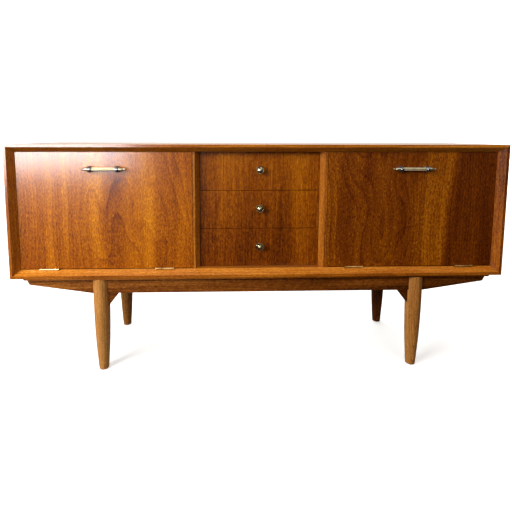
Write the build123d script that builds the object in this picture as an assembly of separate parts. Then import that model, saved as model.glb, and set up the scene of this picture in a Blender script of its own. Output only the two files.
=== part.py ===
from build123d import *

import math
import os

# A long teak sideboard: a bevelled case on a round-legged stand, two bottom-hinged
# flap doors with sliding stays, and three drawers between them.
# Millimetres, +Z up, the front faces -Y, the origin is on the floor under the middle.

# ---- driving dimensions ------------------------------------------------------------
width = 1700.0
depth = 420.0
height = 795.0
case_height = 457.0
board = 25.0

strip_width = 9.5
bevel_depth = 24.0
drawer_recess = 48.0
back_thickness = 6.0
rebate = 12.5

divider_inner = 210.0
divider_thickness = 22.0
divider_strip = 8.0

door_thickness = 20.0
door_gap = 1.5
door_foot_gap = 3.0
edging = 4.0

hinge_length = 63.5
hinge_inset = 98.0
knuckle_radius = 3.5
hinge_pin_radius = 1.6
leaf_thickness = 1.6
leaf_depth = 21.0
leaf_gap = 0.9

handle_centres = 91.0
handle_length = 148.0
handle_drop = 83.5
bar_radius = 6.0
ring_radius = 11.0
ring_width = 11.0

stay_radius = 180.0
stay_guide_angle = 38.0
stay_pivot_offset = 10.0
stay_plane = 14.0
stay_rod_radius = 3.0
stay_rod_length = 322.0
stay_pin_radius = 3.0

shelf_thickness = 16.0
shelf_front = 60.0
shelf_height = 203.0
peg_radius = 2.5

drawer_gap = 2.0
drawer_front_thickness = 20.0
drawer_side_thickness = 14.0
drawer_side_height = 105.0
drawer_bottom_thickness = 5.0
drawer_back_y = 190.0
runner_height = 14.0
runner_reach = 9.4
knob_radius = 13.5
knob_projection = 24.0
knob_rise = 5.0

leg_x = 553.0
leg_radius = 27.6
foot_radius = 16.5
leg_swell = 275.0
front_leg_depth = 27.9
back_leg_depth = 345.0

capping = 5.0
rail_height = 52.0
rail_thickness = 22.0
rail_setback = 14.5
wing_end = 803.0
wing_tip_height = 20.5
wing_slant = 10.0
bracket_reach = 64.0
bracket_drop = 48.0

screw_clearance = 0.05
running_clearance = 0.05
sliding_clearance = 0.3

# ---- worked-out places -------------------------------------------------------------
half_width = width / 2
front = -depth / 2
back = depth / 2
case_bottom = height - case_height
inner_bottom = case_bottom + board
inner_top = height - board
inner_side = half_width - board
door_face = front + bevel_depth
door_back = door_face + door_thickness
drawer_face = front + drawer_recess
divider_outer = divider_inner + divider_thickness
back_face = back - back_thickness

door_outer_x = inner_side - door_gap
door_inner_x = divider_outer + door_gap
door_middle_x = (door_outer_x + door_inner_x) / 2
door_bottom = inner_bottom + door_foot_gap
door_top = inner_top - door_gap

axis_y = door_face - knuckle_radius
axis_z = inner_bottom + door_foot_gap / 2
hinge_places = [door_inner_x + hinge_inset, door_outer_x - hinge_inset]

rail_top = case_bottom - capping
rail_bottom = rail_top - rail_height
rail_face = front + rail_setback
front_leg_y = front + front_leg_depth
back_leg_y = front + back_leg_depth

os.makedirs("parts", exist_ok=True)


# ---- small helpers -----------------------------------------------------------------
def block(x, y, z):
    """A box between two limits on each axis."""
    size = [limits[1] - limits[0] for limits in (x, y, z)]
    middle = [(limits[1] + limits[0]) / 2 for limits in (x, y, z)]
    return Pos(*middle) * Box(*size)


def prism_xz(points, y):
    """An outline in the XZ plane, carried along Y between two limits."""
    face = make_face(Polyline(*[(px, y[0], pz) for px, pz in points], close=True))
    return extrude(face, amount=y[1] - y[0], dir=(0, 1, 0))


def prism_yz(points, x):
    """An outline in the YZ plane, carried along X between two limits."""
    face = make_face(Polyline(*[(x[0], py, pz) for py, pz in points], close=True))
    return extrude(face, amount=x[1] - x[0], dir=(1, 0, 0))


def rod_x(radius, x, y, z):
    """A round bar along X between two limits, centred at y, z."""
    return Pos((x[0] + x[1]) / 2, y, z) * Rot(0, 90, 0) * Cylinder(radius, x[1] - x[0])


def rod_y(radius, x, y, z):
    """A round bar along Y between two limits, centred at x, z."""
    return Pos(x, (y[0] + y[1]) / 2, z) * Rot(90, 0, 0) * Cylinder(radius, y[1] - y[0])


def rod_z(radius, x, y, z):
    """A round bar along Z between two limits, centred at x, y."""
    return Pos(x, y, (z[0] + z[1]) / 2) * Cylinder(radius, z[1] - z[0])


def mirrored(shape):
    """The same piece on the other side of the middle plane."""
    return mirror(shape, about=Plane.YZ)


def both_sides(shapes):
    return list(shapes) + [mirrored(shape) for shape in shapes]


def cut(shape, tools):
    for tool in tools:
        shape = shape - tool
    return shape


def save(name, shapes):
    """Write one sub-part: a single solid, or a group of separate solids."""
    solids = [solid for shape in shapes for solid in shape.solids()]
    shape = solids[0] if len(solids) == 1 else Compound(solids)
    export_step(shape, "parts/" + name + ".step")


def screw(place, head=3.0, shank=1.5, length=12.0, grow=0.0):
    """A countersunk screw whose head lies flush at the place and that drives along its -Z."""
    taper = head - shank
    cone = Pos(0, 0, -taper / 2) * Cone(shank + grow, head + grow, taper)
    body = Pos(0, 0, -(taper + length) / 2) * Cylinder(shank + grow, length - taper)
    return place * (cone + body)


def screw_holes(places, **sizes):
    return [screw(place, grow=screw_clearance, **sizes) for place in places]


# Directions a screw drives in, as a rotation of its own -Z.
drive_down = Rot(0, 0, 0)
drive_up = Rot(180, 0, 0)
drive_forward = Rot(-90, 0, 0)
drive_out_left = Rot(0, 90, 0)


# ---- screw places ------------------------------------------------------------------
hinge_screw_spread = [-22.0, 0.0, 22.0]
hinge_screw_depth = door_face + 9.0
case_leaf_top = axis_z - leaf_gap
door_leaf_bottom = axis_z + leaf_gap
case_leaf_screws = [Pos(x + dx, hinge_screw_depth, case_leaf_top) * drive_down
                    for x in hinge_places for dx in hinge_screw_spread]
door_leaf_screws = [Pos(x + dx, hinge_screw_depth, door_leaf_bottom) * drive_up
                    for x in hinge_places for dx in hinge_screw_spread]

back_screw_edge = half_width - 19.0
back_screw_rows = [case_bottom + 19.0, height - 19.0]
back_screw_columns = [-780.0, -520.0, -260.0, 0.0, 260.0, 520.0, 780.0]
back_screws = [Pos(x, back, z) * drive_forward for x in back_screw_columns for z in back_screw_rows]
back_screws += [Pos(side * back_screw_edge, back, height - case_height / 2) * drive_forward
                for side in (-1, 1)]
divider_middle = (divider_inner + divider_outer) / 2
back_screws += [Pos(side * divider_middle, back, height - case_height / 2 + dz) * drive_forward
                for side in (-1, 1) for dz in (-110.0, 110.0)]
back_screw_size = dict(head=3.5, shank=1.7, length=20.0)


# ---- the case: four mitred boards --------------------------------------------------
mitre_reach = 60.0
board_y = (door_face, back)
rebate_y = (back_face, back)


def mitre_wedge(side, y):
    """The trapezium that a top, bottom or side piece keeps between its two mitres."""
    outer_x = half_width
    inner_x = half_width - mitre_reach
    high = height
    low = case_bottom
    if side == "top":
        points = [(-outer_x, high), (outer_x, high), (inner_x, high - mitre_reach),
                  (-inner_x, high - mitre_reach)]
    elif side == "bottom":
        points = [(-outer_x, low), (outer_x, low), (inner_x, low + mitre_reach),
                  (-inner_x, low + mitre_reach)]
    else:
        points = [(-outer_x, low), (-outer_x, high), (-inner_x, high - mitre_reach),
                  (-inner_x, low + mitre_reach)]
    return prism_xz(points, y)


def hinge_leaf_recesses():
    """Shallow beds for the case leaves, cut in the bottom board behind its lipping."""
    reach = (door_face - 5.0, axis_y + leaf_depth)
    bed = (case_leaf_top - leaf_thickness, inner_bottom + 1.0)
    half = hinge_length / 2 + 0.2
    return both_sides([block((x - half, x + half), reach, bed) for x in hinge_places])


def knuckle_pockets():
    """Round beds for the hinge knuckles in the bottom lipping."""
    half = hinge_length / 2 + 0.5
    radius = knuckle_radius + 0.4
    return both_sides([rod_x(radius, (x - half, x + half), axis_y, axis_z) for x in hinge_places])


base_screw_x = [150.0, 430.0]
base_screw_rows = [rail_face + rail_thickness - 7.0, back_leg_y + 4.0]
base_screw_head_z = rail_bottom + 20.0
base_screws = [Pos(side * x, y, base_screw_head_z) * drive_up
               for side in (-1, 1) for x in base_screw_x for y in base_screw_rows]
base_screw_size = dict(head=4.5, shank=2.2, length=52.0)

shelf_z = inner_bottom + shelf_height
peg_z = shelf_z - peg_radius
peg_rows = [-110.0, 130.0]
peg_reach = 9.0


def peg(x_face, toward, y, grow=0.0):
    """A shelf peg half let into an upright; toward is +1 where the shelf lies at larger x."""
    ends = sorted([x_face - toward * peg_reach, x_face + toward * peg_reach])
    return rod_x(peg_radius + grow, ends, y, peg_z)


left_side_pegs = [(-inner_side, 1, y) for y in peg_rows]
left_divider_pegs = [(-divider_outer, -1, y) for y in peg_rows]
peg_holes_side = [peg(*place, grow=screw_clearance) for place in left_side_pegs]
peg_holes_divider = [peg(*place, grow=screw_clearance) for place in left_divider_pegs]

# Stay geometry: the door pivot and the guide are both on one circle about the hinge
# axis, so the rod turns by exactly half of the door's angle.
pivot_y = door_back + stay_pivot_offset
pivot_rise = math.sqrt(stay_radius ** 2 - (pivot_y - axis_y) ** 2)
pivot_z = axis_z + pivot_rise
guide_y = axis_y + stay_radius * math.sin(math.radians(stay_guide_angle))
guide_z = axis_z + stay_radius * math.cos(math.radians(stay_guide_angle))
rod_tilt = math.degrees(math.atan2(guide_z - pivot_z, guide_y - pivot_y))
stay_x = -inner_side + stay_plane

guide_plate_size = (34.0, 48.0)
guide_plate_thickness = 2.0
guide_plate_screws = [Pos(-inner_side + guide_plate_thickness, guide_y, guide_z + dz) * drive_out_left
                      for dz in (-17.0, 17.0)]

catch_width = 44.0
catch_height = 13.0
catch_y = (door_back + 2.0, door_back + 18.0)
catch_screws = [Pos(-door_middle_x + dx, (catch_y[0] + catch_y[1]) / 2, inner_top - 3.0) * drive_up
                for dx in (-17.0, 17.0)]
catch_screw_size = dict(head=2.8, shank=1.4, length=14.0)

drawer_pitch = (inner_top - inner_bottom - 2 * door_gap + drawer_gap) / 3
drawer_height = drawer_pitch - drawer_gap
drawer_bases = [inner_bottom + door_gap + index * drawer_pitch for index in range(3)]
side_foot = 9.0
runner_middles = [base + side_foot + drawer_side_height / 2 for base in drawer_bases]
runner_y = (drawer_face + drawer_front_thickness + 3.0, drawer_back_y)
runner_screws = [Pos(-divider_inner + runner_reach, y, z) * drive_out_left
                 for z in runner_middles for y in (-100.0, 40.0, 170.0)]
runner_screw_size = dict(head=2.8, shank=1.4, length=22.0)

top_panel = block((-half_width, half_width), board_y, (inner_top, height)) & mitre_wedge("top", board_y)
top_panel = top_panel - block((-inner_side - rebate, inner_side + rebate), rebate_y,
                              (inner_top, inner_top + rebate))
top_panel = cut(top_panel, both_sides(screw_holes(catch_screws, **catch_screw_size)))
top_panel = cut(top_panel, screw_holes(back_screws, **back_screw_size))
save("top_panel", [top_panel])

bottom_panel = block((-half_width, half_width), board_y, (case_bottom, inner_bottom))
bottom_panel = bottom_panel & mitre_wedge("bottom", board_y)
bottom_panel = bottom_panel - block((-inner_side - rebate, inner_side + rebate), rebate_y,
                                    (inner_bottom - rebate, inner_bottom))
bottom_panel = cut(bottom_panel, hinge_leaf_recesses())
bottom_panel = cut(bottom_panel, both_sides(screw_holes(case_leaf_screws)))
bottom_panel = cut(bottom_panel, screw_holes(back_screws, **back_screw_size))
bottom_panel = cut(bottom_panel, screw_holes(base_screws, **base_screw_size))
save("bottom_panel", [bottom_panel])

left_side = block((-half_width, -inner_side), board_y, (case_bottom, height))
left_side = left_side & mitre_wedge("left", board_y)
left_side = left_side - block((-inner_side - rebate, -inner_side), rebate_y,
                              (inner_bottom - rebate, inner_top + rebate))
left_side = cut(left_side, peg_holes_side)
left_side = cut(left_side, screw_holes(guide_plate_screws))
left_side = cut(left_side, screw_holes(back_screws, **back_screw_size))
save("left_side_panel", [left_side])
save("right_side_panel", [mirrored(left_side)])

# ---- the bevelled picture-frame lipping on the case's front edges --------------------
lipping_y = (front, door_face)
rail_profile = [(front, 0.0), (door_face, 0.0), (door_face, board), (front, strip_width)]
bottom_lipping = prism_yz([(y, case_bottom + z) for y, z in rail_profile], (-half_width, half_width))
bottom_lipping = bottom_lipping & mitre_wedge("bottom", lipping_y)
bottom_lipping = cut(bottom_lipping, knuckle_pockets() + hinge_leaf_recesses())
top_lipping = prism_yz([(y, height - z) for y, z in rail_profile], (-half_width, half_width))
top_lipping = top_lipping & mitre_wedge("top", lipping_y)
save("front_lipping_rails", [bottom_lipping, top_lipping])

stile_outline = [(-half_width, front), (-half_width, door_face), (-inner_side, door_face),
                 (-half_width + strip_width, front)]
stile_face = make_face(Polyline(*[(x, y, case_bottom) for x, y in stile_outline], close=True))
left_stile = extrude(stile_face, amount=case_height, dir=(0, 0, 1)) & mitre_wedge("left", lipping_y)
save("front_lipping_stiles", [left_stile, mirrored(left_stile)])

# ---- dividers, back, shelves -------------------------------------------------------
divider_outline = [(-divider_outer, door_face), (-divider_outer, back_face), (-divider_inner, back_face),
                   (-divider_inner, drawer_face), (-divider_outer + divider_strip, door_face)]
divider_face = make_face(Polyline(*[(x, y, inner_bottom) for x, y in divider_outline], close=True))
left_divider = extrude(divider_face, amount=inner_top - inner_bottom, dir=(0, 0, 1))
left_divider = cut(left_divider, peg_holes_divider)
left_divider = cut(left_divider, screw_holes(runner_screws, **runner_screw_size))
left_divider = cut(left_divider, screw_holes(back_screws, **back_screw_size))
save("left_divider", [left_divider])
save("right_divider", [mirrored(left_divider)])

back_panel = block((-inner_side - rebate, inner_side + rebate), rebate_y,
                   (inner_bottom - rebate, inner_top + rebate))
back_panel = cut(back_panel, screw_holes(back_screws, **back_screw_size))
save("back_panel", [back_panel])
save("back_screws", [screw(place, **back_screw_size) for place in back_screws])

shelf_y = (front + shelf_front, back_face - 2.0)
shelf_x = (-inner_side + 1.0, -divider_outer - 1.0)
left_shelf = block(shelf_x, shelf_y, (shelf_z, shelf_z + shelf_thickness))
save("shelves", both_sides([left_shelf]))
save("shelf_pegs", both_sides([peg(*place) for place in left_side_pegs + left_divider_pegs]))

# ---- drawer runners and the case's small screws --------------------------------------
runners = [block((-divider_inner, -divider_inner + runner_reach), runner_y,
                 (z - runner_height / 2, z + runner_height / 2)) for z in runner_middles]
runners = [cut(runner, screw_holes(runner_screws, **runner_screw_size)) for runner in runners]
save("drawer_runners", both_sides(runners))


# ---- hinges ------------------------------------------------------------------------
knuckle_count = 5
knuckle_pitch = hinge_length / knuckle_count
knuckle_play = 0.15


def hinge_leaf(x_middle, indexes, z, screws):
    """One leaf of a butt hinge: its plate with the knuckles at the given places."""
    half = hinge_length / 2
    plate = block((x_middle - half, x_middle + half), (axis_y, axis_y + leaf_depth), z)
    others = [index for index in range(knuckle_count) if index not in indexes]
    for index in others:
        start = x_middle - half + index * knuckle_pitch
        clear = (start - knuckle_play, start + knuckle_pitch + knuckle_play)
        plate = plate - block(clear, (axis_y - 1.0, axis_y + knuckle_radius + 0.5), (z[0] - 1, z[1] + 1))
    for index in indexes:
        start = x_middle - half + index * knuckle_pitch
        span = (start + knuckle_play, start + knuckle_pitch - knuckle_play)
        plate = plate + rod_x(knuckle_radius, span, axis_y, axis_z)
    plate = plate - rod_x(hinge_pin_radius + running_clearance, (x_middle - half - 1, x_middle + half + 1),
                          axis_y, axis_z)
    return cut(plate, screw_holes(screws))


case_leaves = []
door_leaves = []
pins = []
for number, hinge_x in enumerate(hinge_places):
    own = slice(3 * number, 3 * number + 3)
    case_leaves.append(hinge_leaf(hinge_x, [0, 2, 4], (case_leaf_top - leaf_thickness, case_leaf_top),
                                  case_leaf_screws[own]))
    door_leaves.append(hinge_leaf(hinge_x, [1, 3], (door_leaf_bottom, door_leaf_bottom + leaf_thickness),
                                  door_leaf_screws[own]))
    pin_ends = (hinge_x - hinge_length / 2, hinge_x + hinge_length / 2)
    pins.append(rod_x(hinge_pin_radius, pin_ends, axis_y, axis_z))
save("hinge_case_leaves", both_sides(case_leaves))
save("hinge_pins", both_sides(pins))

# ---- stays: the guide plate, the swivelling guide, the rod and the door bracket -------
plate_x = (-inner_side, -inner_side + guide_plate_thickness)
guide_plate = block(plate_x, (guide_y - guide_plate_size[0] / 2, guide_y + guide_plate_size[0] / 2),
                    (guide_z - guide_plate_size[1] / 2, guide_z + guide_plate_size[1] / 2))
guide_pin_end = stay_x - stay_rod_radius - 1.5
guide_plate = guide_plate + rod_x(stay_pin_radius, (plate_x[1] - 1.0, guide_pin_end), guide_y, guide_z)
guide_plate = cut(guide_plate, screw_holes(guide_plate_screws))
save("stay_guide_plates", both_sides([guide_plate]))

guide_half = 6.0
guide_x = (plate_x[1] + 0.5, stay_x + 6.5)
along_rod = Pos(0, guide_y, guide_z) * Rot(rod_tilt, 0, 0)
stay_guide = along_rod * block(guide_x, (-guide_half, guide_half), (-7.0, 7.0))
guide_bore = rod_x(stay_pin_radius + running_clearance,
                   (guide_x[0] - 1, guide_pin_end + 0.3), guide_y, guide_z)
rod_bore = along_rod * rod_y(stay_rod_radius + sliding_clearance, stay_x, (-10.0, 10.0), 0.0)
stay_guide = stay_guide - guide_bore - rod_bore
save("left_stay_guide", [stay_guide])
save("right_stay_guide", [mirrored(stay_guide)])

eye_radius = 7.0
eye_x = (stay_x - 2.0, stay_x + 2.0)
tang_length = 12.0
rod_start = 10.0
collar_radius = 5.5
collar_length = 7.0
from_pivot = Pos(0, pivot_y, pivot_z) * Rot(rod_tilt, 0, 0)
stay_rod = from_pivot * rod_y(stay_rod_radius, stay_x, (rod_start, stay_rod_length), 0.0)
stay_rod = stay_rod + from_pivot * block(eye_x, (0.0, tang_length), (-4.0, 4.0))
stay_rod = stay_rod + rod_x(eye_radius, eye_x, pivot_y, pivot_z)
stay_rod = stay_rod + from_pivot * rod_y(collar_radius, stay_x,
                                         (stay_rod_length - collar_length, stay_rod_length), 0.0)
pivot_bore = rod_x(stay_pin_radius + running_clearance, (stay_x - 8, stay_x + 8), pivot_y, pivot_z)
stay_rod = stay_rod - pivot_bore
save("left_stay_rod", [stay_rod])
save("right_stay_rod", [mirrored(stay_rod)])

bracket_plate_x = (-door_outer_x + 6.0, -door_outer_x + 34.0)
bracket_ear_x = (eye_x[0] - 2.5, eye_x[0] - 0.5)
bracket_z = (pivot_z - 12.0, pivot_z + 12.0)
bracket_screws = [Pos(bracket_plate_x[1] - 7.0, door_back + 2.0, pivot_z + dz) * drive_forward
                  for dz in (-7.0, 7.0)]
stay_bracket = block(bracket_plate_x, (door_back, door_back + 2.0), bracket_z)
stay_bracket = stay_bracket + block(bracket_ear_x, (door_back, pivot_y + 6.0), (pivot_z - 6, pivot_z + 6))
stay_bracket = stay_bracket + rod_x(stay_pin_radius, (bracket_ear_x[0], eye_x[1] + 0.5), pivot_y, pivot_z)
stay_bracket = cut(stay_bracket, screw_holes(bracket_screws))

# ---- catches -----------------------------------------------------------------------
catch_body = block((-door_middle_x - catch_width / 2, -door_middle_x + catch_width / 2), catch_y,
                   (inner_top - catch_height, inner_top))
catch_head_bores = [rod_z(3.6, -door_middle_x + dx, (catch_y[0] + catch_y[1]) / 2,
                          (inner_top - catch_height - 1, inner_top - 3.0)) for dx in (-17.0, 17.0)]
catch_body = cut(catch_body, catch_head_bores)
catch_body = cut(catch_body, screw_holes(catch_screws, **catch_screw_size))
save("catch_bodies", both_sides([catch_body]))

strike_z = (inner_top - catch_height + 1.0, door_top - 1.0)
strike_screw = [Pos(-door_middle_x, door_back + 1.5, (strike_z[0] + strike_z[1]) / 2) * drive_forward]
strike = block((-door_middle_x - 16.0, -door_middle_x + 16.0), (door_back, door_back + 1.5), strike_z)
strike = cut(strike, screw_holes(strike_screw))

case_screws = [screw(place) for place in case_leaf_screws + guide_plate_screws]
case_screws += [screw(place, **catch_screw_size) for place in catch_screws]
case_screws += [screw(place, **runner_screw_size) for place in runner_screws]
save("case_screws", both_sides(case_screws))

# ---- doors -------------------------------------------------------------------------
handle_z = height - handle_drop
handle_y = front + ring_radius + 0.4
post_places = [-door_middle_x - handle_centres / 2, -door_middle_x + handle_centres / 2]
handle_screw_radius = 2.0
handle_screw_tip = door_face - 5.0


def handle_screw(x, grow=0.0):
    """A pan-headed machine screw from inside the door into a handle post."""
    shank = rod_y(handle_screw_radius + grow, x, (handle_screw_tip, door_back), handle_z)
    head = rod_y(4.0, x, (door_back, door_back + 2.4), handle_z)
    return shank if grow else shank + head


door_x = (-door_outer_x, -door_inner_x)
door_y = (door_face, door_back)
door_z = (door_bottom, door_top)
core_x = (door_x[0] + edging, door_x[1] - edging)
core_z = (door_z[0] + edging, door_z[1] - edging)
door_cutters = [handle_screw(x, grow=screw_clearance) for x in post_places]
door_cutters += screw_holes(bracket_screws + strike_screw)
left_hinge_screws = [mirrored(hole) for hole in screw_holes(door_leaf_screws)]
leaf_bed = (door_bottom - 1.0, door_leaf_bottom + leaf_thickness)
leaf_beds = [block((-x - hinge_length / 2 - 0.2, -x + hinge_length / 2 + 0.2),
                   (door_face - 1.0, axis_y + leaf_depth), leaf_bed) for x in hinge_places]

left_core = cut(block(core_x, door_y, core_z), door_cutters + left_hinge_screws)
upright_edgings = [block((door_x[0], core_x[0]), door_y, core_z),
                   block((core_x[1], door_x[1]), door_y, core_z)]
level_edgings = [block(door_x, door_y, (core_z[1], door_z[1])),
                 block(door_x, door_y, (door_z[0], core_z[0]))]
left_edging = [cut(strip, leaf_beds + left_hinge_screws) for strip in upright_edgings + level_edgings]

ring_bore = bar_radius + screw_clearance


def handle_post(x):
    """A post with a ring that grips the bar, a short stem and a round rose."""
    ring = rod_x(ring_radius, (x - ring_width / 2, x + ring_width / 2), handle_y, handle_z)
    stem = rod_y(4.5, x, (handle_y, door_face), handle_z)
    rose = rod_y(8.0, x, (door_face - 2.5, door_face), handle_z)
    bore = rod_x(ring_bore, (x - ring_width, x + ring_width), handle_y, handle_z)
    return ring + stem + rose - bore - handle_screw(x, grow=screw_clearance)


half_bar = handle_length / 2
bar_outline = [(0.0, -half_bar), (2.6, -half_bar + 1.0), (3.6, -half_bar + 3.5), (2.8, -half_bar + 6.5),
               (4.6, -half_bar + 10.0), (bar_radius, -half_bar + 16.0), (bar_radius, 0.0), (0.0, 0.0)]
bar_half = revolve(make_face(Polyline(*[(r, 0, z) for r, z in bar_outline], close=True)), axis=Axis.Z)
whole_bar = bar_half + mirror(bar_half, about=Plane.XY)
left_bar = Pos(-door_middle_x, handle_y, handle_z) * Rot(0, 90, 0) * whole_bar

door_screws = [mirrored(screw(place)) for place in door_leaf_screws]
door_screws += [screw(place) for place in bracket_screws + strike_screw]
door_screws += [handle_screw(x) for x in post_places]

left_door_pieces = {
    "door_panel": [left_core],
    "door_edging": left_edging,
    "door_hinge_leaves": [mirrored(leaf) for leaf in door_leaves],
    "door_screws": door_screws,
    "handle_bar": [left_bar],
    "handle_posts": [handle_post(x) for x in post_places],
    "stay_bracket": [stay_bracket],
    "catch_strike": [strike],
}
for piece_name, pieces in left_door_pieces.items():
    save("left_" + piece_name, pieces)
    save("right_" + piece_name, [mirrored(piece) for piece in pieces])

# ---- drawers -----------------------------------------------------------------------
drawer_half = divider_inner - door_gap
side_outer = divider_inner - 2.0
side_inner = side_outer - drawer_side_thickness
front_back_y = drawer_face + drawer_front_thickness
back_board_y = (drawer_back_y - 12.0, drawer_back_y)
bottom_lift = 10.0
bottom_let_in = 6.0
lap = 8.0

knob_profile_start = [(0.0, 14.0), (2.0, 14.0), (2.0, 0.0), (8.0, 0.0), (8.0, -2.0),
                      (5.0, -4.0), (5.0, -9.0)]
knob_head = [(knob_radius - 2.0, -11.5), (knob_radius, -14.0), (knob_radius, -18.0),
             (knob_radius - 3.0, -22.0), (4.0, -knob_projection), (0.0, -knob_projection)]
knob_turned = revolve(make_face(Polyline(*[(r, y, 0) for r, y in knob_profile_start + knob_head],
                                         close=True)), axis=Axis.Y)

for number, base in enumerate(drawer_bases, start=1):
    knob_z = base + drawer_height / 2 + knob_rise
    side_z = (base + side_foot, base + side_foot + drawer_side_height)
    groove_z = side_z[0] + drawer_side_height / 2
    groove = block((-side_outer - 1.0, -divider_inner + runner_reach + 0.6),
                   (front_back_y - 0.1, drawer_back_y + 1.0),
                   (groove_z - runner_height / 2 - sliding_clearance,
                    groove_z + runner_height / 2 + sliding_clearance))
    bottom_z = (side_z[0] + bottom_lift, side_z[0] + bottom_lift + drawer_bottom_thickness)
    bottom_half = side_inner + bottom_let_in
    bottom = block((-bottom_half, bottom_half), (front_back_y - bottom_let_in, drawer_back_y), bottom_z)
    side = block((-side_outer, -side_inner), (front_back_y - lap, drawer_back_y), side_z)
    side = side - groove - bottom
    back_board = block((-side_inner, side_inner), back_board_y, (bottom_z[1], side_z[1]))
    face = block((-drawer_half, drawer_half), (drawer_face, front_back_y), (base, base + drawer_height))
    face = face - bottom - side - mirrored(side)
    face = face - rod_y(2.0 + screw_clearance, 0.0, (drawer_face, drawer_face + 14.1), knob_z)
    save("drawer_%d_front" % number, [face])
    save("drawer_%d_sides_and_back" % number, [side, mirrored(side), back_board])
    save("drawer_%d_bottom" % number, [bottom])
    save("drawer_%d_knob" % number, [Pos(0, drawer_face, knob_z) * knob_turned])


# ---- the stand ---------------------------------------------------------------------
def turned_leg(x, y):
    """A round leg that tapers to the foot along one long arc."""
    middle_z = leg_swell / 2
    arc_radius = leg_swell ** 2 / (2 * (leg_radius - foot_radius))
    middle_r = leg_radius - (leg_swell - middle_z) ** 2 / (2 * arc_radius)
    toe = 3.5
    side_line = ThreePointArc((foot_radius, 0, toe), (middle_r, 0, middle_z), (leg_radius, 0, leg_swell))
    outline = [Line((0, 0, 0), (foot_radius - toe, 0, 0)),
               ThreePointArc((foot_radius - toe, 0, 0), (foot_radius - 1.0, 0, 1.0),
                             (foot_radius, 0, toe)),
               side_line,
               Line((leg_radius, 0, leg_swell), (leg_radius, 0, rail_top)),
               Line((leg_radius, 0, rail_top), (0, 0, rail_top)),
               Line((0, 0, rail_top), (0, 0, 0))]
    return Pos(x, y, 0) * revolve(make_face(Wire(outline)), axis=Axis.Z)


wing_start = leg_x + leg_radius
rail_outline = [(-wing_start, rail_bottom), (wing_start, rail_bottom),
                (wing_end - wing_slant, rail_top - wing_tip_height), (wing_end, rail_top),
                (-wing_end, rail_top), (-wing_end + wing_slant, rail_top - wing_tip_height)]
rail_places = {"front": (front_leg_y, rail_face), "back": (back_leg_y, back_leg_y - rail_thickness / 2)}
base_bores = [Pos(side * x, y, 0) * rod_z(5.5, 0, 0, (rail_bottom - 1.0, base_screw_head_z))
              for side in (-1, 1) for x in base_screw_x for y in base_screw_rows]
base_holes = screw_holes(base_screws, **base_screw_size)
legs = {}
for place, (leg_y, face_y) in rail_places.items():
    rail = prism_xz(rail_outline, (face_y, face_y + rail_thickness))
    leg = turned_leg(-leg_x, leg_y) - rail
    legs[place] = leg
    save(place + "_left_leg", [leg])
    save(place + "_right_leg", [mirrored(leg)])
    save(place + "_rail", [cut(rail, base_bores + base_holes)])

cross_z = (rail_top - 40.0, rail_top)
cross_y = (rail_face + rail_thickness, back_leg_y - rail_thickness / 2)
cross_rail = block((-leg_x - 11.0, -leg_x + 11.0), cross_y, cross_z) - legs["front"] - legs["back"]
save("cross_rails", both_sides([cross_rail]))

bracket_y = (rail_face + 3.5, rail_face + rail_thickness - 2.5)
bracket_foot_z = rail_bottom - bracket_drop
bracket_outline = [(-leg_x + 8.0, rail_bottom), (-leg_x + bracket_reach, rail_bottom),
                   (-leg_x + leg_radius - 1.5, bracket_foot_z), (-leg_x + 8.0, bracket_foot_z)]
bracket = prism_xz(bracket_outline, bracket_y) - legs["front"]
save("leg_brackets", both_sides([bracket]))

capping_z = (rail_top, case_bottom)
capping_half = wing_end + 3.0
front_capping = block((-capping_half, capping_half),
                      (front + 0.5, front_leg_y + leg_radius - 4.0), capping_z)
back_capping = block((-capping_half, capping_half), (back_leg_y - 25.0, back_leg_y + 25.0), capping_z)
save("capping_strips", [cut(strip, base_holes) for strip in (front_capping, back_capping)])
save("base_screws", [screw(place, **base_screw_size) for place in base_screws])
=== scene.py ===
# %% [markdown]
# # A long teak sideboard
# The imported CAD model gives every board, leg, hinge and stay its place. This lesson
# gives them their looks: lacquered teak veneer with its figure, pale solid lipping, brass
# hinges and turned metal pulls. Sizes are in metres, in the frame of the CAD model: X
# along the length, -Y out of the front, Z up. Only the lathe lines are in millimetres.

# %% Load the frame
import math

import bmesh
import bpy
from mathutils import Matrix, Vector


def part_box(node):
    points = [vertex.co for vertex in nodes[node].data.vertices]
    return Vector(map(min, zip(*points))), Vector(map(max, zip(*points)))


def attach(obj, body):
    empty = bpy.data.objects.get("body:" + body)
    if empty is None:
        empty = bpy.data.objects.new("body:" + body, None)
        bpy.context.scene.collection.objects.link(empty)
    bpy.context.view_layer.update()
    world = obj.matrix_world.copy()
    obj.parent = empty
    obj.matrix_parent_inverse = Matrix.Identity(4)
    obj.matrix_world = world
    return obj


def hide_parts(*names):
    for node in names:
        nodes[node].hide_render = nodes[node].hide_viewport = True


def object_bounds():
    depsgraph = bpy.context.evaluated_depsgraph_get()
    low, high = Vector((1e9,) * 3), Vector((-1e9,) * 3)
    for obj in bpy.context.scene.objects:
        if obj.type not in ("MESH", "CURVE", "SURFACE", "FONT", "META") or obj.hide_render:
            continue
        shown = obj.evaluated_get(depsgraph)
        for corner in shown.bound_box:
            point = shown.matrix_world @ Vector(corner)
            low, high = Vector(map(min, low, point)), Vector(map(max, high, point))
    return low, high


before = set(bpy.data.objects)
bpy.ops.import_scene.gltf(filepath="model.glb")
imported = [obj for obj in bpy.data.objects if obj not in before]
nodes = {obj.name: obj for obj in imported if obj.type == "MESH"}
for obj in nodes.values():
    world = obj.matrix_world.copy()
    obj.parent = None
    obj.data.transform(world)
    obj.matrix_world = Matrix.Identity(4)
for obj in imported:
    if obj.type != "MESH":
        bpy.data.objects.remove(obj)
cad_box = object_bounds()

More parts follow.
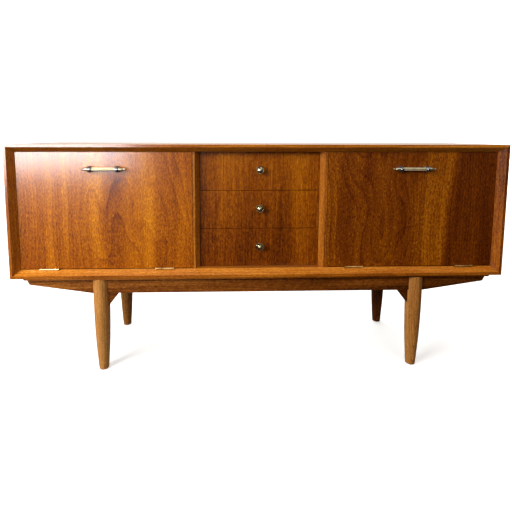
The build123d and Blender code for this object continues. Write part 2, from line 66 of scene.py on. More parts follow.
# %% [markdown]
# ## The camera
# It stands low and close, a little left of the middle, and looks slightly down. The
# frame is shifted rather than the camera tilted further, so the uprights stay upright.
# The camera's three axes are worked out from its turn, its dip and a slight roll.

# %% Camera
camera_place = Vector((-0.1137, -1.4744, 0.8258))
camera_turn = math.radians(1.736)
camera_dip = math.radians(5.779)
camera_roll = math.radians(0.113)

forward = Vector((math.sin(camera_turn) * math.cos(camera_dip),
                  math.cos(camera_turn) * math.cos(camera_dip),
                  -math.sin(camera_dip)))
level = Vector((math.cos(camera_turn), -math.sin(camera_turn), 0.0))
upward = level.cross(forward)
right = level * math.cos(camera_roll) + upward * math.sin(camera_roll)
upward = right.cross(forward)

camera_data = bpy.data.cameras.new("studio_camera")
camera_data.lens = 26.67
camera_data.sensor_width = 36.0
camera_data.shift_x = 0.0337
camera_data.shift_y = -0.161
camera = bpy.data.objects.new("studio_camera", camera_data)
camera.matrix_world = Matrix((
    (right.x, upward.x, -forward.x, camera_place.x),
    (right.y, upward.y, -forward.y, camera_place.y),
    (right.z, upward.z, -forward.z, camera_place.z),
    (0.0, 0.0, 0.0, 1.0)))
bpy.context.scene.collection.objects.link(camera)
bpy.context.scene.camera = camera
print("camera at", [round(v, 3) for v in camera_place])

# %% [markdown]
# ## The stage and the light
# A studio sweep lies on the floor and curves up behind the object, so no horizon shows.
# It could be a plane and a wall, but those meet in a line. Here the side line, a flat
# floor and a quarter circle, is spun into a round bowl, so that the object can be seen
# from any side. The paper glows a little and takes no part in bounced light. The main
# light is a soft window to the front and left. It is two lamps close together: one lights
# matt surfaces and the other shows only as a glow in the lacquer, so each can be set
# alone. Weaker lamps stand to the right and overhead, one more lights the paper behind,
# and a pale sky fills the shadows.

# %% Stage
def new_object(name, mesh):
    """An object at the origin that holds a mesh, in the scene."""
    thing = bpy.data.objects.new(name, mesh)
    bpy.context.scene.collection.objects.link(thing)
    return thing


def bowl_line(floor_radius, bend, height, steps):
    """The bowl's side line from its middle: flat floor, quarter circle, upright wall."""
    line = [(0.0, 0.0), (floor_radius, 0.0)]
    for i in range(1, steps + 1):
        turn = math.pi / 2 * i / steps
        line.append((floor_radius + bend * math.sin(turn), bend * (1 - math.cos(turn))))
    line.append((floor_radius + bend, height))
    return line


floor_drop = 0.0008
stage_mesh = bmesh.new()
side_line = [stage_mesh.verts.new((r, 0.0, z - floor_drop))
             for r, z in bowl_line(floor_radius=4.0, bend=3.0, height=8.0, steps=12)]
side_edges = [stage_mesh.edges.new(pair) for pair in zip(side_line, side_line[1:])]
bmesh.ops.spin(stage_mesh, geom=side_line + side_edges, cent=(0, 0, 0), axis=(0, 0, 1),
               dvec=(0, 0, 0), angle=2 * math.pi, steps=48, use_merge=True,
               use_duplicate=False)
bmesh.ops.remove_doubles(stage_mesh, verts=stage_mesh.verts[:], dist=0.0001)
bmesh.ops.recalc_face_normals(stage_mesh, faces=stage_mesh.faces[:])
bmesh.ops.reverse_faces(stage_mesh, faces=stage_mesh.faces[:])
sweep_data = bpy.data.meshes.new("studio_sweep")
stage_mesh.to_mesh(sweep_data)
stage_mesh.free()
for face in sweep_data.polygons:
    face.use_smooth = True
sweep = new_object("studio_sweep", sweep_data)
sweep.visible_diffuse = False
sweep.visible_glossy = False
print("bowl of paper with", len(sweep_data.polygons), "faces")

sweep_paint = bpy.data.materials.new("studio_paper")
sweep_paint.use_nodes = True
paper = sweep_paint.node_tree.nodes["Principled BSDF"]
paper.inputs["Base Color"].default_value = (0.86, 0.86, 0.86, 1.0)
paper.inputs["Roughness"].default_value = 0.9
paper.inputs["Emission Color"].default_value = (1.0, 1.0, 1.0, 1.0)
paper.inputs["Emission Strength"].default_value = 0.42
sweep_data.materials.append(sweep_paint)

# %% [markdown]
# Each lamp is a rectangle, because a small lamp would give hard shadows and bright dots
# in the lacquer. The camera doesn't see the lamps themselves.

# %% Lights
def soft_light(name, place, aim, size, power, colour=(1.0, 1.0, 1.0), matt=True,
               gloss=True):
    """A rectangle of light facing the aim. It can be left out of matt or gloss light."""
    data = bpy.data.lights.new(name, "AREA")
    data.shape = "RECTANGLE"
    data.size = size[0]
    data.size_y = size[1]
    data.energy = power
    data.color = colour
    lamp = bpy.data.objects.new(name, data)
    lamp.location = place
    lamp.rotation_euler = (Vector(aim) - Vector(place)).to_track_quat("-Z", "Y").to_euler()
    lamp.visible_camera = False
    lamp.visible_diffuse = matt
    lamp.visible_glossy = gloss
    bpy.context.scene.collection.objects.link(lamp)
    print(name, "of", power, "W")


soft_light("window_light", (-2.1, -1.7, 1.5), (-0.5, -0.2, 0.55), (1.3, 1.4), 90.0,
           (1.0, 0.99, 0.97), gloss=False)
soft_light("window_glow", (-1.80, -2.1, 0.83), (-0.75, -0.19, 0.72), (1.7, 0.56), 145.0,
           (0.90, 0.94, 1.0), matt=False)
soft_light("room_light", (1.4, -3.4, 2.4), (0.2, 0.0, 0.5), (2.5, 1.5), 40.0,
           (1.0, 0.97, 0.93))
soft_light("top_light", (-0.3, 0.9, 3.2), (0.0, 0.4, 0.4), (4.0, 3.0), 100.0)
soft_light("backdrop_light", (0.5, 2.4, 3.6), (0.5, 6.5, 2.4), (9.0, 1.5), 700.0)

# %% [markdown]
# The sky is brighter behind the object and overhead than behind the camera. The front
# then mirrors a dark room, so its colours stay deep, and the top mirrors the pale wall.

# %% Sky
world = bpy.data.worlds.new("pale_sky")
world.use_nodes = True
sky_tree = world.node_tree


def sky_node(kind, operation=None, **values):
    """A node of the sky, with numbers or wires for its inputs."""
    node = sky_tree.nodes.new("ShaderNode" + kind)
    if operation:
        node.operation = operation
    for key, value in values.items():
        socket = node.inputs[int(key[1:])] if key[0] == "_" else node.inputs[
            key.replace("_", " ").title()]
        if isinstance(value, bpy.types.NodeSocket):
            sky_tree.links.new(value, socket)
        else:
            socket.default_value = value
    return node.outputs


split = sky_node("SeparateXYZ", _0=sky_node("TexCoord")["Generated"])
behind = sky_node("MapRange", value=split["Y"], from_min=-0.5, from_max=0.4,
                  to_min=0.05, to_max=1.0)[0]
above = sky_node("MapRange", value=split["Z"], from_min=0.35, from_max=0.95,
                 to_min=0.05, to_max=0.9)[0]
ground = sky_node("MapRange", value=split["Z"], from_min=-0.15, from_max=0.05,
                  to_min=0.12, to_max=1.0)[0]
bright = sky_node("Math", "MAXIMUM", _0=behind, _1=above)[0]
bright = sky_node("Math", "MULTIPLY", _0=bright, _1=ground)[0]
sky_tree.links.new(bright, sky_tree.nodes["Background"].inputs["Strength"])
sky_tree.nodes["Background"].inputs["Color"].default_value = (1.0, 0.95, 0.88, 1.0)
bpy.context.scene.world = world
bpy.context.scene.view_settings.view_transform = "Standard"
bpy.context.scene.view_settings.look = "None"
bpy.context.scene.view_settings.exposure = 0.0

# %% [markdown]
# ## Writing a finish
# A finish here is a material whose colour, gloss and bump come from nodes. Adding nodes
# by hand takes many lines, so a small class holds one material and joins nodes to it in
# short calls. Colours are given as they look on a screen, and made linear.

# %% Finish helper
def tint(red, green, blue):
    """A linear colour from the 0 to 255 values seen on a screen."""
    def linear(v):
        v = v / 255.0
        return v / 12.92 if v <= 0.04045 else ((v + 0.055) / 1.055) ** 2.4
    return (linear(red), linear(green), linear(blue), 1.0)


class Finish:
    """One material, with short calls that add nodes and join them."""

    def __init__(self, name):
        self.material = bpy.data.materials.new(name)
        self.material.use_nodes = True
        self.tree = self.material.node_tree
        self.shader = self.tree.nodes["Principled BSDF"]

    def add(self, kind, wires=None, output=0, **settings):
        """A node of that kind, its settings, and a dictionary of what goes into it."""
        node = self.tree.nodes.new("ShaderNode" + kind)
        for key, value in settings.items():
            setattr(node, key, value)
        for socket, wire in (wires or {}).items():
            self.join(wire, node.inputs[socket])
        return node.outputs[output]

    def join(self, wire, socket):
        """Links a wire to a socket, or sets the socket's number."""
        if isinstance(wire, bpy.types.NodeSocket):
            self.tree.links.new(wire, socket)
        else:
            socket.default_value = wire

    def math(self, operation, a, b=0.0, clamp=False):
        return self.add("Math", {0: a, 1: b}, operation=operation, use_clamp=clamp)

    def noise(self, vector, scale=1.0, detail=2.0, rough=0.5, output=0):
        return self.add("TexNoise", {"Vector": vector, "Scale": scale, "Detail": detail,
                                     "Roughness": rough}, output=output)

    def stretch(self, vector, across, along):
        """Squeezes a place so that a noise on it runs long along the grain."""
        return self.add("VectorMath", {0: vector, 1: (across, across, along)},
                        operation="MULTIPLY")

    def ramp(self, factor, stops, smooth="LINEAR"):
        """A colour ramp from (position, colour) stops."""
        node = self.tree.nodes.new("ShaderNodeValToRGB")
        ramp = node.color_ramp
        ramp.interpolation = smooth
        while len(ramp.elements) < len(stops):
            ramp.elements.new(1.0)
        for element, (position, colour) in zip(ramp.elements, stops):
            element.position = position
            element.color = colour
        self.join(factor, node.inputs[0])
        return node.outputs[0]

    def mix(self, factor, a, b, blend="MIX"):
        node = self.tree.nodes.new("ShaderNodeMix")
        node.data_type = "RGBA"
        node.blend_type = blend
        self.join(factor, node.inputs[0])
        self.join(a, node.inputs[6])
        self.join(b, node.inputs[7])
        return node.outputs[2]

    def spread(self, value, low, high):
        """Turns a value from 0..1 into low..high."""
        return self.add("MapRange", {"Value": value, "To Min": low, "To Max": high})

    def bump(self, height, strength, distance):
        return self.add("Bump", {"Strength": strength, "Distance": distance,
                                 "Height": height})


def grey(value):
    """A grey of that strength, for the stops of a ramp."""
    return (value, value, value, 1.0)

# %% [markdown]
# ## Teak
# A sawn board shows the tree's yearly rings where its face cuts them. Rings that stand
# square to the face give straight stripes, and rings that lie nearly flat to it give the
# tall arches called cathedrals. So the pattern is worked out in the block, as a distance
# from a heart line behind the face: a tilt of that line makes the arches. Noise drawn
# out along the grain adds broad bands, streaks, fibres and the short dark dashes of open
# pores. One pale streak can be placed at a given spot, for a board that is known by it. A
# picture of wood would be quicker, but it would stretch on edges and end grain, and this
# way each finish is cut from its own piece of the block.

# %% Teak finish
grain_turns = {"X": (0.0, -math.pi / 2, 0.0), "Y": (math.pi / 2, 0.0, 0.0),
               "Z": (0.0, 0.0, 0.0)}


def teak(name, grain, tones, heart=(0.0, 0.08), tilt=(0.0, 0.0), ring=0.007,
         ring_weight=0.25, streak_weight=0.6, fibre_weight=0.35, stipple_weight=0.3,
         shift=(0.0, 0.0, 0.0), band_weight=0.0, pale_streak=None, warp=0.02,
         edge=None, fade=None, gloss=(0.32, 0.46), coat=0.5, coat_roughness=0.19,
         shine=0.04):
    """A wood finish with its grain along one axis.

    tones run from its darkest to its palest colour. heart, tilt and ring place the yearly
    rings, and each weight says how much one kind of mark shows. shift moves the board to
    another piece of the block. edge is (axis, distance from the middle, change of tone),
    a painted shade on the flat outer face. fade is (axis, start, stop, change of tone),
    a drift that is partly uneven wood and partly painted shade.
    """
    wood = Finish(name)
    place = wood.add("TexCoord", output=3)
    turned = wood.add("Mapping", {"Vector": place, "Location": shift,
                                  "Rotation": grain_turns[grain]})
    # The whole figure wanders a little as it runs along the board.
    wander = wood.noise(wood.stretch(turned, 5.0, 1.6), detail=2.0, output=1)
    wander = wood.add("VectorMath", {0: wander, 1: (0.5, 0.5, 0.5)}, operation="SUBTRACT")
    wander = wood.add("VectorMath", {0: wander, 1: (warp, warp, 0.0)},
                      operation="MULTIPLY")
    moved = wood.add("VectorMath", {0: turned, 1: wander}, operation="ADD")

    # Yearly rings round the heart line.
    core = wood.add("Mapping", {"Vector": moved, "Location": (-heart[0], -heart[1], 0.0),
                                "Rotation": (tilt[0], tilt[1], 0.0)})
    core = wood.add("VectorMath", {0: core, 1: (1.0, 1.0, 0.0)}, operation="MULTIPLY")
    radius = wood.add("VectorMath", {0: core}, operation="LENGTH", output=1)
    uneven = wood.noise(wood.add("CombineXYZ", {0: radius}), scale=45.0, detail=1.0)
    count = wood.math("ADD", wood.math("DIVIDE", radius, ring),
                      wood.math("MULTIPLY", uneven, 3.0))
    year = wood.math("FRACT", count)
    rings = wood.ramp(year, [(0.0, grey(0.15)), (0.12, grey(0.75)), (0.55, grey(0.62)),
                             (0.88, grey(0.45)), (1.0, grey(0.15))])
    strength = wood.noise(wood.stretch(moved, 9.0, 1.0), detail=1.0)
    rings = wood.math("MULTIPLY", wood.math("SUBTRACT", rings, 0.5), strength)

    # Streaks, fibres, the stipple of pores, and single open pores.
    streak = wood.noise(wood.stretch(moved, 11.0, 0.9), detail=3.0, rough=0.55)
    fibre = wood.noise(wood.stretch(moved, 380.0, 9.0), detail=2.0, rough=0.6)
    stipple = wood.noise(wood.stretch(turned, 300.0, 105.0), detail=2.0, rough=0.7)
    pore = wood.noise(wood.stretch(turned, 1100.0, 55.0), detail=1.0)
    pores = wood.ramp(pore, [(0.0, grey(1.0)), (0.3, grey(1.0)), (0.4, grey(0.0))])

    tone = wood.math("MULTIPLY", wood.math("SUBTRACT", streak, 0.5), streak_weight * 2)
    tone = wood.math("ADD", tone, wood.math("MULTIPLY", rings, ring_weight * 2))
    tone = wood.math("ADD", tone, wood.math("MULTIPLY", wood.math("SUBTRACT", fibre, 0.5),
                                            fibre_weight))
    tone = wood.math("ADD", tone, wood.math("MULTIPLY",
                                            wood.math("SUBTRACT", stipple, 0.5),
                                            stipple_weight))
    if band_weight:
        # Broad bands of paler and darker wood, as wide as a few fingers.
        broad = wood.noise(wood.stretch(moved, 17.0, 0.7), detail=1.0)
        broad = wood.math("SUBTRACT", broad, 0.5)
        tone = wood.math("ADD", tone, wood.math("MULTIPLY", broad, band_weight * 2))
    if pale_streak:
        # One pale streak with a darker right edge, leaning a little off the grain.
        middle, middle_height, half_width, lean = pale_streak
        spot = wood.add("VectorMath", {0: place, 1: wander}, operation="ADD")
        height = wood.add("SeparateXYZ", {0: spot}, output=2)
        slope = wood.math("MULTIPLY", wood.math("SUBTRACT", height, middle_height), lean)
        across = wood.math("SUBTRACT", wood.add("SeparateXYZ", {0: spot}), slope)
        across = wood.add("MapRange", {"Value": across, "From Min": middle - half_width,
                                       "From Max": middle + half_width})
        streak_tone = wood.ramp(across, [(0.0, grey(0.5)), (0.4, grey(0.95)),
                                         (0.8, grey(0.25)), (1.0, grey(0.5))],
                                smooth="B_SPLINE")
        tone = wood.math("ADD", tone, wood.math("SUBTRACT", streak_tone, 0.5))
    if edge:
        # The flat outer face is made darker than the sloping face: painted shade.
        apart = wood.add("SeparateXYZ", {0: place}, output="XYZ".index(edge[0]))
        out = wood.math("ABSOLUTE", apart)
        out = wood.add("MapRange", {"Value": out, "From Min": edge[1] - 0.0006,
                                    "From Max": edge[1] + 0.0006, "To Max": edge[2]})
        tone = wood.math("ADD", tone, out)
    if fade:
        # The tone drifts along an axis: partly uneven wood, partly painted shade where a window's light
        # falls off.
        axis, start, stop, change = fade
        along = wood.add("SeparateXYZ", {0: place}, output="XYZ".index(axis))
        along = wood.add("MapRange", {"Value": along, "From Min": start, "From Max": stop,
                                      "To Max": change})
        tone = wood.math("ADD", tone, along)
    tone = wood.math("ADD", tone, 0.5, clamp=True)
    colour = wood.ramp(tone, [(i / (len(tones) - 1), t) for i, t in enumerate(tones)])
    colour = wood.mix(wood.math("MULTIPLY", pores, 0.45), colour, tones[0])
    wood.join(colour, wood.shader.inputs["Base Color"])

    rub = wood.noise(wood.stretch(turned, 6.0, 4.0), detail=2.0)
    sheen = wood.math("ADD", wood.math("MULTIPLY", rub, 0.5),
                      wood.math("MULTIPLY", fibre, 0.5))
    wood.join(wood.spread(sheen, gloss[0], gloss[1]), wood.shader.inputs["Roughness"])
    relief = wood.math("SUBTRACT", fibre, wood.math("MULTIPLY", pores, 0.8))
    wood.join(wood.bump(relief, 0.25, 0.0006), wood.shader.inputs["Normal"])
    lacquer = wood.math("ADD", fibre, stipple)
    wood.join(wood.bump(lacquer, 0.16, 0.0006), wood.shader.inputs["Coat Normal"])
    wood.shader.inputs["Specular IOR Level"].default_value = shine
    wood.shader.inputs["Coat Weight"].default_value = coat
    wood.shader.inputs["Coat Roughness"].default_value = coat_roughness
    return wood.material


streak_share = 0.73
streak_half_width = 0.045
streak_lean = 0.07
front_lip = -cad_box[0].y - 0.0007
end_lip = cad_box[1].x - 0.0095
right_tones = (tint(46, 15, 1), tint(88, 35, 2), tint(124, 60, 4), tint(178, 104, 12))
# The left door's tones are paler than the right door's: painted light, for the window's light and glare
# on that door.
left_lit_tones = (tint(96, 40, 2), tint(148, 74, 3), tint(190, 108, 7), tint(228, 152, 22))
drawer_tones = (tint(64, 24, 1), tint(120, 56, 2), tint(168, 92, 6), tint(208, 132, 18))
# A pale streak runs down the right door, about three quarters of the way across it.
low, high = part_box("right_door_panel")
golden_streak = (low.x + streak_share * (high.x - low.x), (low.z + high.z) / 2,
                 streak_half_width, streak_lean)
# The left door grows darker towards its bottom: painted shade, where the window's light falls off.
door_teak_left = teak("door_veneer_left", "Z", left_lit_tones, heart=(-0.36, 0.16),
                      tilt=(0.03, 0.03), shift=(0.0, 0.0, 2.3), ring=0.008,
                      ring_weight=0.35, band_weight=0.4, streak_weight=0.4, stipple_weight=1.4, warp=0.08,
                      fade=("Z", 0.62, 0.37, -0.14))
door_teak_right = teak("door_veneer_right", "Z", right_tones, heart=(0.42, 0.14),
                       tilt=(-0.03, 0.03), shift=(0.0, 0.0, 0.7), ring=0.008,
                       ring_weight=0.35, band_weight=0.35, pale_streak=golden_streak,
                       streak_weight=0.4, stipple_weight=1.3, warp=0.08)
# The drawer fronts grow darker towards the bottom: painted shade, where less of the window's light
# reaches.
drawer_teak = teak("drawer_veneer", "Z", drawer_tones, heart=(0.9, 0.1), ring=0.004,
                   ring_weight=0.4, streak_weight=0.35, fibre_weight=0.8,
                   stipple_weight=1.0, shift=(0.0, 0.0, 1.9), fade=("Z", 0.74, 0.42, -0.28))
board_tones = (tint(80, 34, 4), tint(126, 64, 12), tint(166, 96, 26), tint(206, 140, 60))
board_teak_long = teak("case_veneer_long", "X", board_tones, heart=(-0.7, 0.15),
                       shift=(0.0, 0.0, 3.1))
top_teak = teak("top_veneer", "X", board_tones, heart=(0.02, 0.74), tilt=(0.01, 0.03),
                ring=0.012, ring_weight=0.45, streak_weight=0.5, stipple_weight=0.6,
                shift=(0.0, 0.0, 4.2), gloss=(0.26, 0.36), coat=0.8, coat_roughness=0.12)
board_teak_up = teak("case_veneer_upright", "Z", board_tones, heart=(0.2, 0.3),
                     shift=(0.0, 0.0, 5.3))
lipping_tones = (tint(108, 50, 6), tint(160, 88, 14), tint(204, 128, 38), tint(246, 192, 112))
# The top rail is darker than the bottom one: painted shade on its downward bevel under the top. Its flat
# front face is darker again: painted shade.
lipping_long = teak("lipping_long", "X", lipping_tones, heart=(-0.3, 0.4), ring=0.005,
                    ring_weight=0.4, streak_weight=0.7, fibre_weight=0.6,
                    stipple_weight=0.9, shift=(0.0, 0.0, 7.7), edge=("Y", front_lip, -0.16),
                    fade=("Z", 0.5, 0.7, -0.15))
stile_tones = (tint(76, 30, 3), tint(150, 78, 12), tint(196, 116, 26), tint(228, 158, 66))
# The right stile is darker than the left one, and the flat front faces darker than the bevels: painted
# shade, away from the window's light.
lipping_up = teak("lipping_upright", "Z", stile_tones, heart=(0.4, 0.5), ring=0.005,
                  ring_weight=0.4, streak_weight=0.6, fibre_weight=0.6,
                  stipple_weight=0.9, shift=(0.0, 0.0, 9.1), edge=("X", end_lip, -0.15),
                  fade=("X", -0.1, 0.1, -0.26))
divider_tones = (tint(74, 30, 4), tint(134, 70, 14), tint(188, 114, 34), tint(228, 164, 80))
divider_teak = teak("divider_teak", "Z", divider_tones, heart=(0.1, 0.5), ring=0.005,
                    ring_weight=0.4, streak_weight=0.6, fibre_weight=0.6,
                    stipple_weight=0.9, shift=(0.0, 0.0, 9.9))
leg_tones = (tint(98, 58, 22), tint(152, 96, 42), tint(188, 128, 64), tint(216, 160, 96))
# Darker tones than the legs' for the rails under the case: painted shade. The back right leg takes them
# as well.
rail_shade_tones = (tint(64, 28, 4), tint(112, 57, 12), tint(156, 93, 32), tint(190, 128, 62))
# The rails, brackets and capping grow darker towards the right end: painted shade, as the window's light
# falls off.
stand_long = teak("stand_teak_long", "X", rail_shade_tones, heart=(-0.2, 0.3), ring=0.006,
                  ring_weight=0.4, streak_weight=0.8, fibre_weight=0.6,
                  stipple_weight=0.9, shift=(0.0, 0.0, 11.3),
                  fade=("X", -0.8, 0.8, -0.66))
stand_up = teak("stand_teak_upright", "Z", leg_tones, heart=(0.5, 0.4), ring=0.006,
                ring_weight=0.4, streak_weight=0.7, fibre_weight=0.6,
                stipple_weight=0.7, shift=(0.0, 0.0, 13.9))
# A shaded copy of the leg finish for the back right leg, in darker tones and darker still along X:
# painted shade, as that leg stands in shadow.
stand_shaded = teak("stand_teak_shaded", "Z", rail_shade_tones, heart=(0.5, 0.4), ring=0.006,
                  ring_weight=0.4, streak_weight=0.7, fibre_weight=0.6,
                  stipple_weight=0.7, shift=(0.0, 0.0, 15.2),
                  fade=("X", 0.0, 0.1, -0.15))

# %% [markdown]
# ## Hidden woods and metals
# The drawer boxes are made as pale beech and the thin panels as plywood. Hinges and pegs
# are brass, knobs and pulls yellowish and grey alloys, and screws and stays zinc-plated
# steel.

# %% Other finishes
beech_tones = (tint(168, 128, 84), tint(196, 158, 112), tint(214, 180, 136),
               tint(226, 196, 156))
beech_deep = teak("beech_deep", "Y", beech_tones, heart=(0.3, 0.2), ring=0.004,
                  ring_weight=0.15, streak_weight=0.3, fibre_weight=0.2,
                  gloss=(0.5, 0.65), coat=0.0)
ply_tones = (tint(150, 108, 66), tint(182, 140, 94), tint(202, 164, 118),
             tint(218, 186, 144))
plywood = teak("plywood_face", "X", ply_tones, heart=(0.1, 0.05), tilt=(0.05, 0.0),
               ring=0.009, streak_weight=0.4, gloss=(0.6, 0.75), coat=0.0)


def metal(name, dark, light, roughness=(0.2, 0.4), scratch=0.2):
    """A metal with patches of tarnish and fine scratches."""
    alloy = Finish(name)
    place = alloy.add("TexCoord", output=3)
    patch = alloy.noise(place, scale=60.0, detail=3.0)
    fine = alloy.noise(place, scale=900.0, detail=2.0)
    colour = alloy.ramp(patch, [(0.3, dark), (0.7, light)])
    alloy.join(colour, alloy.shader.inputs["Base Color"])
    alloy.shader.inputs["Metallic"].default_value = 1.0
    worn = alloy.math("ADD", alloy.math("MULTIPLY", patch, 0.6),
                      alloy.math("MULTIPLY", fine, 0.4))
    alloy.join(alloy.spread(worn, roughness[0], roughness[1]),
               alloy.shader.inputs["Roughness"])
    alloy.join(alloy.bump(fine, scratch, 0.0001), alloy.shader.inputs["Normal"])
    return alloy.material


brass = metal("aged_brass", tint(146, 108, 56), tint(214, 176, 108))
steel = metal("zinc_steel", tint(120, 120, 122), tint(190, 190, 192), (0.3, 0.5))
bar_metal = metal("bar_metal", tint(172, 162, 130), tint(204, 194, 166), (0.3, 0.4), 0.1)
post_metal = metal("post_metal", tint(92, 92, 94), tint(146, 148, 154), (0.22, 0.34))
knob_metal = metal("knob_metal", tint(118, 108, 72), tint(214, 200, 160), (0.16, 0.3))


def cream_plastic(name):
    """A cream moulded plastic with a faint grain."""
    plastic = Finish(name)
    grain = plastic.noise(plastic.add("TexCoord", output=3), scale=700.0, detail=2.0)
    colour = plastic.ramp(grain, [(0.3, tint(206, 198, 180)), (0.7, tint(224, 218, 204))])
    plastic.join(colour, plastic.shader.inputs["Base Color"])
    plastic.join(plastic.spread(grain, 0.4, 0.55), plastic.shader.inputs["Roughness"])
    return plastic.material


catch_plastic = cream_plastic("catch_plastic")
print(len(bpy.data.materials), "finishes mixed")

# %% [markdown]
# Every part of the CAD model now gets its finish. Boards take the veneer that runs the
# way of their grain, and whatever isn't listed, which is mostly screws and stays, is
# zinc-plated steel.

# %% Finishes on the CAD nodes
node_finish = {
    "top_panel": top_teak, "bottom_panel": board_teak_long,
    "left_side_panel": board_teak_up, "right_side_panel": board_teak_up,
    "front_lipping_rails": lipping_long, "front_lipping_stiles": lipping_up,
    "left_divider": divider_teak, "right_divider": divider_teak,
    "back_panel": plywood, "shelves": board_teak_long,
    "drawer_runners": beech_deep, "front_rail": stand_long, "back_rail": stand_long,
    "cross_rails": stand_long, "leg_brackets": stand_long, "capping_strips": stand_long,
    "front_left_leg": stand_up, "front_right_leg": stand_up,
    "back_left_leg": stand_up, "back_right_leg": stand_shaded,
    "catch_bodies": catch_plastic, "hinge_case_leaves": brass, "hinge_pins": brass,
    "shelf_pegs": brass, "stay_guide_plates": steel,
    "left_door_panel": door_teak_left, "left_door_edging": door_teak_left,
    "right_door_panel": door_teak_right, "right_door_edging": door_teak_right,
}
for side in ("left", "right"):
    node_finish[side + "_door_hinge_leaves"] = brass
    node_finish[side + "_handle_bar"] = bar_metal
    node_finish[side + "_handle_posts"] = post_metal
for number in (1, 2, 3):
    node_finish["drawer_%d_front" % number] = drawer_teak
    node_finish["drawer_%d_sides_and_back" % number] = beech_deep
    node_finish["drawer_%d_bottom" % number] = plywood
    node_finish["drawer_%d_knob" % number] = brass
for name, node in nodes.items():
    finish = node_finish.get(name, steel)
    for material_slot in node.material_slots:
        material_slot.link = "OBJECT"
        material_slot.material = finish
print("finishes on", len(nodes), "nodes")

# %% [markdown]
# ## Turned metal
# Knobs and pulls are turned on a lathe, so each is one side line spun round its own
# axis. A stock cylinder with a bevel would be quicker, but it has no neck, dish or
# bead, and those are what catch the light. Where the line touches the axis, the doubled
# points are merged, and edges sharper than a set angle are kept crisp.

# %% Lathe helpers
fine_steps = 48
rose_steps = 32


def on_lathe(side_line, axis, centre, steps):
    """A bmesh spun round an axis through a centre: side_line has (radius, along) in mm."""
    along = Vector(axis)
    outward = Vector((0.0, 0.0, 1.0))
    work = bmesh.new()
    line = [work.verts.new(Vector(centre) + outward * (r / 1000) + along * (a / 1000))
            for r, a in side_line]
    edges = [work.edges.new(pair) for pair in zip(line, line[1:])]
    if side_line[0][0] > 0.0:
        edges.append(work.edges.new((line[-1], line[0])))
    bmesh.ops.spin(work, geom=line + edges, cent=centre, axis=axis, dvec=(0, 0, 0),
                   angle=2 * math.pi, steps=steps, use_merge=True, use_duplicate=False)
    bmesh.ops.remove_doubles(work, verts=work.verts[:], dist=0.000005)
    bmesh.ops.recalc_face_normals(work, faces=work.faces[:])
    return work


def add_to(whole, part):
    """Puts the shapes of one bmesh into another."""
    hold = bpy.data.meshes.new("hold")
    part.to_mesh(hold)
    part.free()
    whole.from_mesh(hold)
    bpy.data.meshes.remove(hold)


def finished(work, name, finish, body, replaced, crisp=38.0):
    """Makes a bmesh a smooth-shaded piece that stands for its CAD nodes."""
    mesh = bpy.data.meshes.new(name)
    work.to_mesh(mesh)
    work.free()
    for face in mesh.polygons:
        face.use_smooth = True
    mesh.set_sharp_from_angle(angle=math.radians(crisp))
    mesh.materials.append(finish)
    piece = new_object(name, mesh)
    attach(piece, body)
    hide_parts(*replaced)

# %% [markdown]
# ## Drawer knobs
# Each knob has a small foot, a waisted neck and a dished face with a button in the middle.
# The line starts at the drawer's face and runs out along the axis.

# %% Drawer knobs
knob_line = [(0.0, 0.0), (7.5, 0.0), (8.0, -0.4), (8.0, -1.5), (7.4, -2.1), (5.6, -3.0),
             (4.9, -4.6), (4.8, -7.6), (5.6, -9.0), (8.6, -10.4), (12.0, -11.8),
             (13.2, -13.0), (13.5, -14.4), (13.5, -17.0), (13.0, -18.2), (12.0, -18.8),
             (10.9, -18.5), (8.2, -18.3), (6.6, -19.0), (5.8, -20.6), (4.9, -22.4),
             (3.2, -23.6), (0.0, -24.0)]
for number in (1, 2, 3):
    low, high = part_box("drawer_%d_knob" % number)
    face_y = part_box("drawer_%d_front" % number)[0].y
    centre = (0.0, face_y, (low.z + high.z) / 2)
    knob = on_lathe(knob_line, (0.0, 1.0, 0.0), centre, fine_steps)
    finished(knob, "knob_%d" % number, knob_metal, "drawer_%d" % number,
             ["drawer_%d_knob" % number])
    print("knob", number, "at height", round(centre[2], 4))

# %% [markdown]
# ## Bar pulls
# Each flap is opened by a slim bar held in two rings. The bar has fine flutes along its
# middle and tapers to a small ball at each end. The flutes are made by drawing one line
# of points in every four, along the middle, towards the bar's axis.

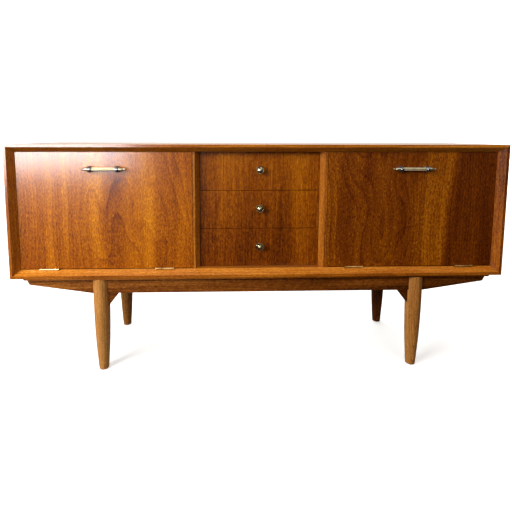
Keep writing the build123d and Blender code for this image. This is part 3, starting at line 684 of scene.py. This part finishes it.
# %% Bar pulls
bar_end = [(0.0, -74.0), (1.9, -73.6), (3.1, -72.4), (3.6, -70.9), (3.3, -69.4),
           (2.7, -67.8), (3.2, -66.4), (4.4, -64.6), (5.5, -61.6), (6.0, -58.0),
           (6.0, -52.0), (5.8, -41.0), (5.8, -40.0), (5.8, -38.0)]
bar_line = bar_end + [(r, -a) for r, a in reversed(bar_end)]
ring_line = [(6.2, -5.5), (8.4, -5.5), (9.0, -4.9), (9.2, -4.2), (10.5, -4.0),
             (11.0, -3.4), (11.0, 3.4), (10.5, 4.0), (9.2, 4.2), (9.0, 4.9),
             (8.4, 5.5), (6.2, 5.5)]
stem_line = [(0.0, -5.0), (4.2, -5.0), (4.6, -4.2), (5.4, -3.2), (7.4, -2.4), (8.0, -1.8),
             (8.0, -0.3), (7.7, 0.0), (0.0, 0.0)]
post_gap = 0.0455
flute_reach = 0.0405
flute_pinch = 0.84
point_turn = 2 * math.pi / fine_steps
points_per_flute = 4
for side in ("left", "right"):
    low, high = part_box(side + "_handle_bar")
    middle = (low + high) / 2
    door_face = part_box(side + "_door_panel")[0].y
    bar = on_lathe(bar_line, (1.0, 0.0, 0.0), middle, fine_steps)
    valleys = [v for v in bar.verts if abs(v.co.x - middle.x) < flute_reach
               and round(math.atan2(v.co.y - middle.y, v.co.z - middle.z)
                         / point_turn) % points_per_flute == 0]
    bmesh.ops.scale(bar, vec=(1.0, flute_pinch, flute_pinch),
                    space=Matrix.Translation(-middle), verts=valleys)
    finished(bar, side + "_pull_bar", bar_metal, side + "_door",
             [side + "_handle_bar"], crisp=24.0)
    posts = bmesh.new()
    for shift in (-post_gap, post_gap):
        ring_centre = middle + Vector((shift, 0.0, 0.0))
        add_to(posts, on_lathe(ring_line, (1.0, 0.0, 0.0), ring_centre, fine_steps))
        rose_centre = Vector((ring_centre.x, door_face, ring_centre.z))
        add_to(posts, on_lathe(stem_line, (0.0, 1.0, 0.0), rose_centre, rose_steps))
    finished(posts, side + "_pull_posts", post_metal, side + "_door",
             [side + "_handle_posts"])
    print(side, "pull is", round(high.x - low.x, 4), "m long")
